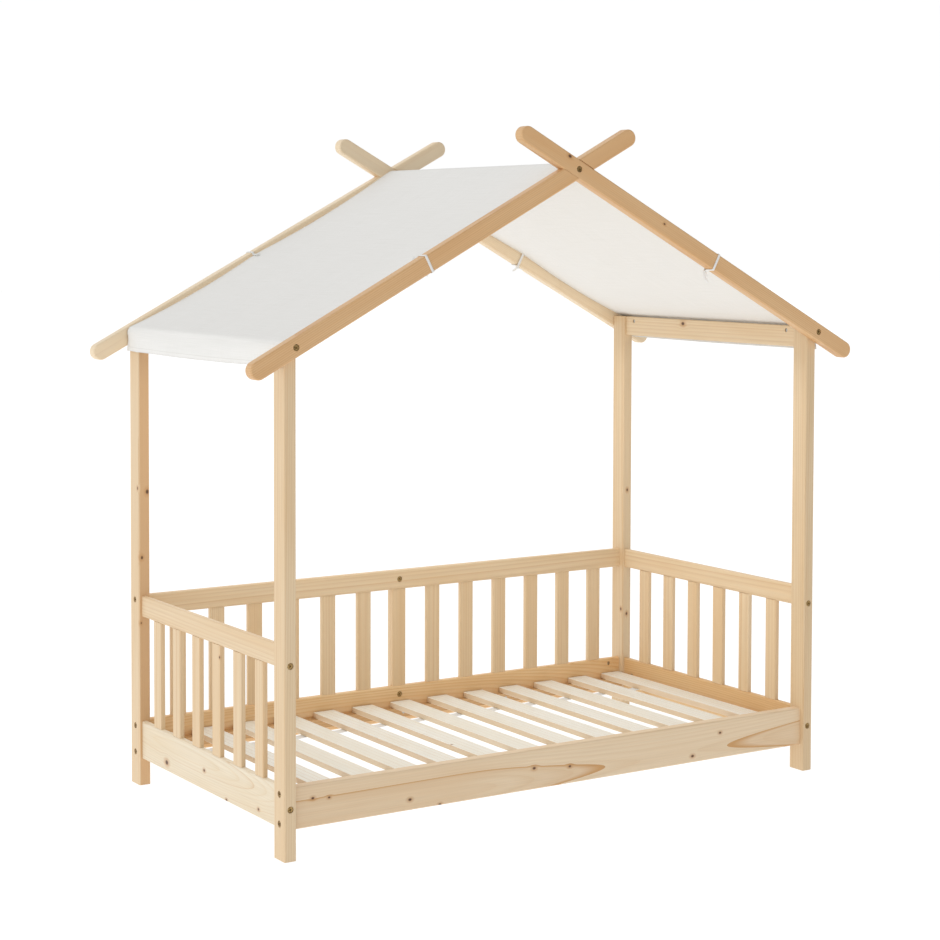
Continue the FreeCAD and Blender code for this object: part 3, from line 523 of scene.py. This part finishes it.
# the bolts' dark brown paints the shade in their counterbores, and their light gold specks paint glints
bolt_zinc_painted_shade_and_glints = plated_steel("yellow_zinc_steel_painted_shade_and_glints", ("#5F472A", "#BFA06C"), 0.30)
bright_zinc = plated_steel("zinc_plated_steel", ("#A5A29C", "#C2BEB6"), 0.30)
for name in ("side_board_bolts", "end_panel_bolts", "rafter_bolts", "ridge_bolts", "support_bolts"):
    finish_node(name, bolt_zinc_painted_shade_and_glints)
for name in ("barrel_nuts", "ledger_screws"):
    finish_node(name, bright_zinc)
print("metals:", bolt_zinc_painted_shade_and_glints.name, "and", bright_zinc.name)


# %% [markdown]
# ## Beech dowels
#
# A fluted beech dowel has a tight, even grain with short darker flecks, the rays of the wood.

# %% Beech
beech, tree, shader = new_material("turned_beech_dowel")
place = add(tree, "ShaderNodeTexCoord").outputs["Object"]
fleck_place = add(tree, "ShaderNodeVectorMath", {0: place, 1: (900, 120, 900)},
                  operation="MULTIPLY").outputs[0]
fleck = add(tree, "ShaderNodeTexNoise", {"Vector": fleck_place, "Scale": 1.0, "Detail": 2.0}).outputs["Fac"]
tint = add(tree, "ShaderNodeValToRGB", {0: fleck}, stops=((0.3, "#B98F63"), (0.6, "#D2AC80")))
tree.links.new(tint.outputs[0], shader.inputs["Base Color"])
shader.inputs["Roughness"].default_value = 0.6
finish_node("roof_dowels", beech)


# %% [markdown]
# ## Cotton
#
# The canopy is a plain weave: one thread over, one under, about half a millimetre apart. At the
# size of a whole bed that is too fine to see, so the weave is drawn at one thread a millimetre.
# Some threads are spun thicker than others, and those slubs show as faint long streaks. A row
# of stitches runs along each hem.

# %% Cotton
STITCH_STEP = 3.5 * MM
STITCH_LONG = 2.4 * MM
THREAD = "#DDDBD6"


def cotton(name, flat, colour, thread, hem=None):
    """Plain-woven cotton on a sheet of a flat size; hem is how far in its row of stitches runs."""
    material, tree, shader = new_material(name)
    across = add(tree, "ShaderNodeUVMap").outputs[0]
    place = add(tree, "ShaderNodeVectorMath", {0: across, 1: (*flat, 1)}, operation="MULTIPLY").outputs[0]
    apart = add(tree, "ShaderNodeSeparateXYZ", {0: place}).outputs
    heights = []
    for index in (0, 1):
        beat = add(tree, "ShaderNodeMath", {0: apart[index], 1: math.pi / thread},
                   operation="MULTIPLY").outputs[0]
        heights.append(add(tree, "ShaderNodeMath", {0: beat}, operation="SINE").outputs[0])
    weave = add(tree, "ShaderNodeMath", {0: heights[0], 1: heights[1]}, operation="MULTIPLY").outputs[0]
    slubs = []
    for stretch in ((8, 900, 1), (900, 8, 1)):
        streak = add(tree, "ShaderNodeVectorMath", {0: place, 1: stretch}, operation="MULTIPLY").outputs[0]
        slubs.append(add(tree, "ShaderNodeTexNoise",
                         {"Vector": streak, "Scale": 1.0, "Detail": 1.0}).outputs["Fac"])
    slub = add(tree, "ShaderNodeMath", {0: slubs[0], 1: slubs[1]}, operation="ADD").outputs[0]
    half_slub = add(tree, "ShaderNodeMath", {0: slub, 1: 0.5}, operation="MULTIPLY").outputs[0]
    cloth_colour = add(tree, "ShaderNodeValToRGB", {0: half_slub},
                       stops=((0.35, colour[0]), (0.6, colour[1]))).outputs[0]
    relief = add(tree, "ShaderNodeMath", {0: weave, 1: 0.5, 2: slub}, operation="MULTIPLY_ADD").outputs[0]
    if hem:
        edges = []
        for index, length in enumerate(flat):
            other = add(tree, "ShaderNodeMath", {0: length, 1: apart[index]},
                        operation="SUBTRACT").outputs[0]
            edges.append(add(tree, "ShaderNodeMath", {0: apart[index], 1: other},
                             operation="MINIMUM").outputs[0])
        edge = add(tree, "ShaderNodeMath", {0: edges[0], 1: edges[1]}, operation="MINIMUM").outputs[0]
        off = add(tree, "ShaderNodeMath", {0: edge, 1: hem}, operation="SUBTRACT").outputs[0]
        off = add(tree, "ShaderNodeMath", {0: off}, operation="ABSOLUTE").outputs[0]
        near = add(tree, "ShaderNodeMapRange",
                   {0: off, 1: 0.4 * MM, 2: 1.1 * MM, 3: 1.0, 4: 0.0}).outputs[0]
        run = add(tree, "ShaderNodeMath", {0: apart[0], 1: apart[1]}, operation="ADD").outputs[0]
        dash = add(tree, "ShaderNodeMath", {0: run, 1: STITCH_STEP}, operation="MODULO").outputs[0]
        dash = add(tree, "ShaderNodeMath", {0: dash, 1: STITCH_LONG}, operation="LESS_THAN").outputs[0]
        stitch = add(tree, "ShaderNodeMath", {0: near, 1: dash}, operation="MULTIPLY").outputs[0]
        cloth_colour = add(tree, "ShaderNodeMix", {0: stitch, 6: cloth_colour, 7: linear(THREAD)},
                           data_type="RGBA").outputs[2]
        relief = add(tree, "ShaderNodeMath", {0: stitch, 1: -0.9, 2: relief},
                     operation="MULTIPLY_ADD").outputs[0]
    tree.links.new(cloth_colour, shader.inputs["Base Color"])
    bump = add(tree, "ShaderNodeBump", {"Height": relief, "Strength": 0.35, "Distance": 0.15 * MM})
    tree.links.new(bump.outputs[0], shader.inputs["Normal"])
    shader.inputs["Roughness"].default_value = 0.9
    shader.inputs["Specular IOR Level"].default_value = 0.2
    shader.inputs["Sheen Weight"].default_value = 0.25
    shader.inputs["Sheen Roughness"].default_value = 0.5
    return material


# %% [markdown]
# ## Canopy
#
# The canopy is one rectangle of cotton. It hangs over the ridge pole and both roof rails, with
# a short valance outside each rail. It is cut a touch longer than the way it has to go, so it
# sags a little between the poles, and its free edges ripple. That is a cloth's own business, so
# the sheet is laid along its route and then left to fall by simulation: held along the ridge,
# along both rails and at the four ties, free everywhere else. Its back corner on the left is
# flared by a fold, each valance keeps a soft wave, and the iron has left a crease over each rail,
# so those are shaped after the fall.

# %% Route of the canopy
SHEET_GAP = 1.2 * MM
SLACK = 7 * MM
SLOPE_STEPS = 40
HEM = 12 * MM
TIE_X = 400 * MM
width = cloth_high.y - cloth_low.y
eave_x = post_high.x + SHEET_GAP
hem_corner = Vector((eave_x, cloth_low.z))
eave_corner = Vector((eave_x, rail_high.z + SHEET_GAP))
shoulder = Vector((ridge_high.x - 3 * MM, ridge_high.z + SHEET_GAP))


def eased_route(corners, radius, bend_steps):
    """A line through the corners with each one rounded by a smooth bend."""
    route = [corners[0]]
    for before, corner, after in zip(corners, corners[1:], corners[2:]):
        back = (before - corner).normalized()
        on = (after - corner).normalized()
        cut = radius / math.tan(back.angle(on) / 2)
        start, end = corner + back * cut, corner + on * cut
        for step in range(bend_steps + 1):
            t = step / bend_steps
            route.append(start.lerp(corner, t).lerp(corner.lerp(end, t), t))
    return route + [corners[-1]]


def evenly(route, count):
    """The same line cut into equal lengths."""
    lengths = [0.0]
    for start, end in zip(route, route[1:]):
        lengths.append(lengths[-1] + (end - start).length)
    points, index = [], 0
    for step in range(count + 1):
        target = lengths[-1] * step / count
        while index < len(route) - 2 and lengths[index + 1] < target:
            index += 1
        share = (target - lengths[index]) / (lengths[index + 1] - lengths[index])
        points.append(route[index].lerp(route[index + 1], share))
    return points, lengths[-1]


half = eased_route([hem_corner, eave_corner, shoulder], 7 * MM, 8)
slope_start, slope_end = half[-2], half[-1]
sagged = half[:-1]
for step in range(1, SLOPE_STEPS):
    t = step / SLOPE_STEPS
    drop = -SLACK * 4 * t * (1 - t)
    sagged.append(slope_start.lerp(slope_end, t) + Vector((0, drop)))
right_side = sagged + [shoulder, Vector((ridge_high.x / 2, ridge_high.z + 1.3 * SHEET_GAP))]
whole = right_side + [Vector((0, ridge_high.z + 1.4 * SHEET_GAP))]
whole += [Vector((-point.x, point.y)) for point in reversed(right_side)]
SHEET_STEPS = 150
points, length = evenly(whole, SHEET_STEPS)
print("canopy flat size in metres", round(width, 3), "by", round(length, 3))

# %% [markdown]
# A fine grid becomes the cloth. Each column of its points goes to one step of the route, so the
# sheet starts in its place, as long as the flat cloth is. The held points are the ones that lie
# on wood or under a tie.

# %% Lay the sheet along its route
SHEET_ROWS = 66
HELD_NEAR = 9 * MM
bpy.ops.object.select_all(action="DESELECT")
bpy.ops.mesh.primitive_grid_add(x_subdivisions=SHEET_STEPS, y_subdivisions=SHEET_ROWS, size=1)
canopy = bpy.context.object
canopy.name = "cotton_canopy"
rows = []
for vertex in canopy.data.vertices:
    rows.append(round((vertex.co.x + 0.5) * SHEET_STEPS))
    point = points[rows[-1]]
    vertex.co = (point.x, vertex.co.y * width, point.y)

hold = canopy.vertex_groups.new(name="held")
for vertex in canopy.data.vertices:
    x, y, z = vertex.co
    at_ridge = abs(x) < ridge_high.x
    at_rail = abs(abs(x) - eave_x) < HELD_NEAR and z > rail_high.z - 2 * MM
    at_tie = abs(abs(x) - TIE_X) < HELD_NEAR and abs(y) > width / 2 - 4 * MM
    if at_ridge or at_rail or at_tie:
        hold.add([vertex.index], 1.0, "REPLACE")
print("points of the sheet", len(canopy.data.vertices))

# %% [markdown]
# Cotton is limp and hardly stretches, so it bends easily and its threads are stiff. It falls on
# copies of the wood, because the frame's own pieces are left as they are. A second or so of time
# is enough for it to settle, and then its shape is kept as a plain mesh.

# %% Let the sheet fall
def solid_copy(node_name):
    """A watertight copy of a frame piece for cloth to lie on."""
    copy = nodes[node_name].copy()
    copy.data = nodes[node_name].data.copy()
    copy.parent = None
    bpy.context.scene.collection.objects.link(copy)
    shape = bmesh.new()
    shape.from_mesh(copy.data)
    bmesh.ops.remove_doubles(shape, verts=shape.verts, dist=0.01 * MM)
    shape.to_mesh(copy.data)
    shape.free()
    return copy


SHEET_FRAMES = 30
CLOTH_GAP = 0.8 * MM
UNDER_CLOTH = ["ridge_pole", "left_roof_rail", "right_roof_rail"]
UNDER_CLOTH += [f"{face}_{side}_{kind}" for kind in ("post", "rafter")
                for face in ("front", "back") for side in ("left", "right")]
supports = [solid_copy(name) for name in UNDER_CLOTH]
for support in supports:
    bpy.context.view_layer.objects.active = support
    bpy.ops.object.modifier_add(type="COLLISION")
    support.collision.thickness_outer = CLOTH_GAP
    support.collision.cloth_friction = 8
cloth = canopy.modifiers.new("cloth", "CLOTH")
cloth.settings.quality = 8
cloth.settings.mass = 0.02
cloth.settings.tension_stiffness = 60
cloth.settings.compression_stiffness = 40
cloth.settings.shear_stiffness = 20
cloth.settings.bending_stiffness = 0.05
cloth.settings.air_damping = 2
cloth.settings.vertex_group_mass = "held"
cloth.collision_settings.distance_min = CLOTH_GAP
cloth.point_cache.frame_start = 1
cloth.point_cache.frame_end = SHEET_FRAMES
for moment in range(1, SHEET_FRAMES + 1):
    bpy.context.scene.frame_set(moment)
bpy.ops.object.select_all(action="DESELECT")
bpy.context.view_layer.objects.active = canopy
canopy.select_set(True)
bpy.ops.object.modifier_apply(modifier="cloth")
for support in supports:
    bpy.data.objects.remove(support)
bpy.context.scene.frame_set(1)
lowest = min(vertex.co.z for vertex in canopy.data.vertices)
print("canopy hem at", round(lowest, 4))

# %% [markdown]
# Nothing holds the valances below the rails, so they never hang quite flat. Each point stands off
# a little more the further it hangs down. The flare is a slope past a crease that runs inwards
# from the corner, with a low swell beside it, as a fold in cotton has.

# %% Soft waves in the valances, and a flared back corner on the left one
FLARE_WIDE = 42 * MM
FLARE_SLOPE = 0.12
SWELL_WIDE = 45 * MM
SWELL_HIGH = 5 * MM
WAVE_HIGH = 3 * MM
for vertex in canopy.data.vertices:
    x, y, z = vertex.co
    if abs(x) < eave_x - HELD_NEAR:
        continue
    fallen = min(max((rail_high.z - z) / (rail_high.z - cloth_low.z), 0.0), 1.0)
    crease = width / 2 - FLARE_WIDE * fallen
    stands_off = WAVE_HIGH * fallen * (0.5 + noise.noise(Vector((14 * y, 9 * z, 5 * x))))
    if x < 0 and y > crease:
        stands_off = FLARE_SLOPE * (y - crease)
    elif x < 0 and y > crease - SWELL_WIDE:
        stands_off = SWELL_HIGH * fallen * math.sin(math.pi * (crease - y) / SWELL_WIDE)
    vertex.co.x += math.copysign(max(stands_off, 0.0), x)
print("valances reach out to", round(max(abs(vertex.co.x) for vertex in canopy.data.vertices), 4))

# %% [markdown]
# The sheet is smoothed once, with a sharp line kept where it was pressed over each rail, and then
# it gets its thickness: the hems are folded double, so they are the thickest part.

# %% Thickness, hems and finish of the canopy
PRESSED = 0.8
SINGLE_CLOTH = 0.4
HEM_THICK = 1.6 * MM
hem_group = canopy.vertex_groups.new(name="doubled")
uv_layer = canopy.data.uv_layers.active.data
for polygon in canopy.data.polygons:
    for corner in polygon.loop_indices:
        u, v = uv_layer[corner].uv
        edge = min(u * length, (1 - u) * length, v * width, (1 - v) * width)
        layers = 1.0 if edge < HEM else SINGLE_CLOTH
        hem_group.add([canopy.data.loops[corner].vertex_index], layers, "REPLACE")
eave_row = round((eave_corner - hem_corner).length / length * SHEET_STEPS)
pressed = canopy.data.attributes.new("crease_edge", "FLOAT", "EDGE")
for edge in canopy.data.edges:
    start_row, end_row = (rows[index] for index in edge.vertices)
    if start_row == end_row and start_row in (eave_row, SHEET_STEPS - eave_row):
        pressed.data[edge.index].value = PRESSED
bpy.ops.object.select_all(action="DESELECT")
bpy.context.view_layer.objects.active = canopy
canopy.select_set(True)
soft = canopy.modifiers.new("soft", "SUBSURF")
soft.levels = soft.render_levels = 1
soft.boundary_smooth = "PRESERVE_CORNERS"
thick = canopy.modifiers.new("thick", "SOLIDIFY")
thick.thickness = HEM_THICK
thick.offset = 0
thick.vertex_group = "doubled"
bpy.ops.object.modifier_apply(modifier="soft")
bpy.ops.object.modifier_apply(modifier="thick")
bpy.ops.object.shade_smooth()
canopy.data.materials.clear()
canopy.data.materials.append(cotton("plain_woven_cotton", (length, width), ("#E9E8E4", "#F0EFEC"),
                                    1.0 * MM, hem=10 * MM))
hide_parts("canopy")
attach(canopy, "frame")
print("canopy faces", len(canopy.data.polygons))


# %% [markdown]
# ## Ties
#
# Four narrow cotton tapes keep the canopy's edges on the rafters. Each is sewn on a little way in
# from the edge, goes over the rafter and down its outer face, and is knotted below with a second
# tape that comes straight down from the cloth. A flat tape is a strip that follows a line, and
# what makes it look like tape is that its width turns with the line, so the helper here takes
# both: the points and the way the width lies at each.

# %% A flat tape along a line
def strip(name, route, widths, wide, thick, material):
    """A flat tape with soft edges; widths are the directions across it, one for each point."""
    shape = bmesh.new()
    uv_layer = shape.loops.layers.uv.new("flat")
    profile = ((0.5, 0.0), (0.44, 0.5), (0.0, 0.5), (-0.44, 0.5), (-0.5, 0.0), (-0.44, -0.5), (0.0, -0.5),
               (0.44, -0.5))
    sections, run = [], [0.0]
    for index, point in enumerate(route):
        before = route[max(index - 1, 0)]
        after = route[min(index + 1, len(route) - 1)]
        forward = (after - before).normalized()
        sideways = (widths[index] - forward * widths[index].dot(forward)).normalized()
        outward = forward.cross(sideways)
        sections.append([shape.verts.new(point + sideways * (wide * a) + outward * (thick * b))
                         for a, b in profile])
        run.append(run[-1] + (after - point).length)
    for number, (section, following) in enumerate(zip(sections, sections[1:])):
        for index in range(len(profile)):
            onward = (index + 1) % len(profile)
            face = shape.faces.new((section[index], section[onward], following[onward], following[index]))
            spots = ((index, 0), (onward, 0), (onward, 1), (index, 1))
            for loop, (corner, end) in zip(face.loops, spots):
                loop[uv_layer].uv = (run[number + end], profile[corner][0] * wide)
    for section in (sections[0], sections[-1]):
        shape.faces.new(section)
    bmesh.ops.recalc_face_normals(shape, faces=shape.faces)
    mesh = bpy.data.meshes.new(name)
    shape.to_mesh(mesh)
    shape.free()
    piece = bpy.data.objects.new(name, mesh)
    bpy.context.scene.collection.objects.link(piece)
    mesh.materials.append(material)
    for polygon in mesh.polygons:
        polygon.use_smooth = True
    return piece


def joined(name, pieces):
    """Several meshes as one piece."""
    bpy.ops.object.select_all(action="DESELECT")
    for piece in pieces:
        piece.select_set(True)
    bpy.context.view_layer.objects.active = pieces[0]
    bpy.ops.object.join()
    pieces[0].name = name
    return pieces[0]


# %% [markdown]
# Each tie finds its own place: where its rafter lies, and how high the fallen cloth is there. It
# is followed from the cloth over the rafter, down the outer face and back under, and then one and
# a half turns make the knot. The two tails of each tie hang in their own way.

# %% Where a tie goes
TIE_WIDE = 7 * MM
TIE_THICK = 0.9 * MM
TAB_LONG = 26 * MM
KNOT_WIDE = 3.0 * MM
KNOT_TURNS = 1.5
KNOT_STEPS = 22
TAIL_STEPS = 12
canopy_points = [vertex.co.copy() for vertex in canopy.data.vertices]
tie_cotton = cotton("twill_cotton_tape", (1, 1), ("#E9E8E4", "#F2F1EE"), 0.9 * MM)


def cloth_height(x, y):
    """The canopy's height near a place on its edge."""
    return min(canopy_points, key=lambda point: (point.x - x) ** 2 + (point.y - y) ** 2).z


def tie(side, face, tails):
    """One tie; tails are the lean along X and the length of its two hanging ends."""
    hand = -1 if side == "left" else 1
    far = -1 if face == "front" else 1
    along = Vector((hand * math.cos(PITCH), 0, -math.sin(PITCH)))
    up = Vector((hand * math.sin(PITCH), 0, math.cos(PITCH)))
    out = Vector((0, far, 0))
    rafter_y = (rafter_high.y + rafter_low.y) / 2
    centre = Vector((hand * TIE_X, far * abs(rafter_y), RIDGE_Z - TIE_X * math.tan(PITCH)))
    edge = width / 2 - abs(rafter_y)
    cloth = (cloth_height(centre.x, far * (width / 2 - 2 * MM)) - centre.z) * math.cos(PITCH)
    side_gap = RAFTER_THICK / 2 + 1.0 * MM
    top_gap = RAFTER_DEEP / 2 + 0.9 * MM
    inner = -side_gap - 0.6 * MM

    def at(outward, upward):
        return centre + out * outward + up * upward

    knot = at(inner - 0.5 * MM, -top_gap - 3.5 * MM)
    over = eased_route([
        at(edge - TAB_LONG, cloth + 1.6 * MM), at(inner, cloth + 1.7 * MM), at(inner, top_gap),
        at(side_gap, top_gap), at(side_gap, -top_gap), at(-side_gap * 0.4, -top_gap - 0.6 * MM),
        knot + out * 2.5 * MM], 2.2 * MM, 5)
    widths = [along] * len(over)
    for step in range(KNOT_STEPS + 1):
        angle = 2 * math.pi * KNOT_TURNS * step / KNOT_STEPS
        spot = out * math.cos(angle) * KNOT_WIDE + along * math.sin(angle) * KNOT_WIDE
        over.append(knot + spot + up * (1.2 * MM - 2.6 * MM * step / KNOT_STEPS))
        widths.append((along.lerp(up, min(1.0, step / 6))).normalized())
    under = eased_route([
        at(edge - TAB_LONG, cloth - 1.6 * MM), at(inner - 1.0 * MM, cloth - 1.7 * MM),
        at(inner - 1.0 * MM, -top_gap), knot], 2.0 * MM, 5)
    runs = [strip("over", over, widths, TIE_WIDE * 0.92, TIE_THICK, tie_cotton),
            strip("under", under, [along] * len(under), TIE_WIDE, TIE_THICK, tie_cotton)]
    for number, (lean, long) in enumerate(tails):
        start = knot + along * (number - 0.5) * 1.5 * MM
        points = []
        for step in range(TAIL_STEPS + 1):
            t = step / TAIL_STEPS
            curl = math.sin(t * math.pi) * 3 * MM * (1 if number else -1)
            points.append(start + Vector((lean * t * t + curl * 0.4, far * curl * 0.3, -long * t)))
        turned = [along.lerp(out, 0.35 * step / TAIL_STEPS).normalized() for step in range(TAIL_STEPS + 1)]
        runs.append(strip("tail", points, turned, TIE_WIDE * 0.9, TIE_THICK * 0.8, tie_cotton))
    piece = joined(f"{face}_{side}_cotton_tie", runs)
    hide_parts(f"{face}_{side}_tie")
    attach(piece, "frame")
    return piece


# %% Tie the canopy on
# the lean along X and the length of each tail
TAILS = {
    ("front", "left"): ((2 * MM, 5 * MM), (-3 * MM, 4 * MM)),
    ("front", "right"): ((13 * MM, 30 * MM), (4 * MM, 12 * MM)),
    ("back", "left"): ((-6 * MM, 24 * MM), (5 * MM, 20 * MM)),
    ("back", "right"): ((-16 * MM, 13 * MM), (15 * MM, 10 * MM)),
}
ties = [tie(side, face, tails) for (face, side), tails in TAILS.items()]
print("ties", [piece.name for piece in ties])


# %% [markdown]
# ## Tapes under the base slats
#
# The thirteen base slats are loose boards. Two woven tapes under them keep their spacing and let
# the base roll up for transport. Between two slats the tape hangs a millimetre or two, and at
# each end it is folded back under itself.

# %% Slat tapes
TAPE_THICK = 0.9 * MM
TAPE_SAG = 1.6 * MM
FOLD_LONG = 22 * MM
FOLD_DEEP = 1.6 * MM
FOLD_ROUND = 3 * MM
SLAT_EDGE = 2 * MM
SAG_STEPS = 8
webbing = cotton("woven_polyester_tape", (1, 1), ("#E2E2E0", "#EDEDEB"), 1.4 * MM)
for face in ("front", "back"):
    tape_low, tape_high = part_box(f"{face}_slat_tape")
    middle = (tape_low.y + tape_high.y) / 2
    flat_z = tape_high.z - 0.6 * MM
    start, end = tape_low.x + 1 * MM, tape_high.x - 1 * MM
    # each place along the tape, and how far it lies below the flat part
    line = [(start + FOLD_LONG, FOLD_DEEP), (start + FOLD_ROUND, FOLD_DEEP), (start, FOLD_DEEP / 2),
            (start + FOLD_ROUND, 0)]
    for before, after in zip(base_names, base_names[1:]):
        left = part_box(before)[1].x - SLAT_EDGE
        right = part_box(after)[0].x + SLAT_EDGE
        for step in range(SAG_STEPS + 1):
            t = step / SAG_STEPS
            line.append((left + (right - left) * t, TAPE_SAG * 4 * t * (1 - t)))
    line += [(end - FOLD_ROUND, 0), (end, FOLD_DEEP / 2), (end - FOLD_ROUND, FOLD_DEEP),
             (end - FOLD_LONG, FOLD_DEEP)]
    route = [Vector((x, middle, flat_z - below)) for x, below in line]
    tape = strip(f"{face}_woven_slat_tape", route, [Vector((0, 1, 0))] * len(route),
                 tape_high.y - tape_low.y, TAPE_THICK, webbing)
    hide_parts(f"{face}_slat_tape")
    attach(tape, "slat_base")
    print(tape.name, "length in metres", round(end - start + 2 * FOLD_LONG, 3))
